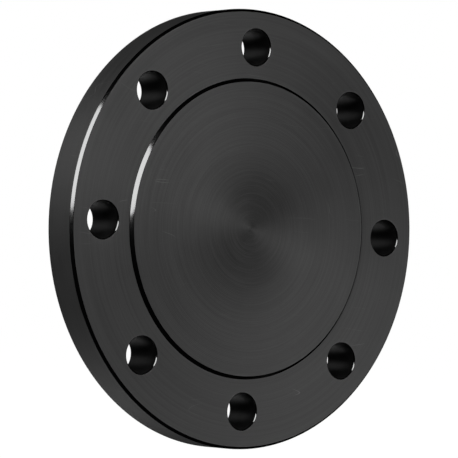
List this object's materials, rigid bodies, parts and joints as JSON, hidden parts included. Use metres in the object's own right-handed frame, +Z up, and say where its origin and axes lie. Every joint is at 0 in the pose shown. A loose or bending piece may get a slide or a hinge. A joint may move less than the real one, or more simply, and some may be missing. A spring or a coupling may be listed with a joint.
{
  "type": "blind flange",
  "caption": "Round solid blanking flange with a raised gasket face, a ring of plain bolt holes and chamfered edges, for closing the end of a flanged pipe.",
  "frame": {"origin": "centre of the raised gasket face", "axes": "+Y along the flange's axis from the raised face to the back face, +Z up through the top bolt hole, +X to the right as seen from the front"},
  "size_m": [0.23, 0.024, 0.23],
  "materials": {
    "blackened_steel": "satin"
  },
  "bodies": {
    "root": {"blind_flange": "blackened_steel"}
  },
  "joints": []
}
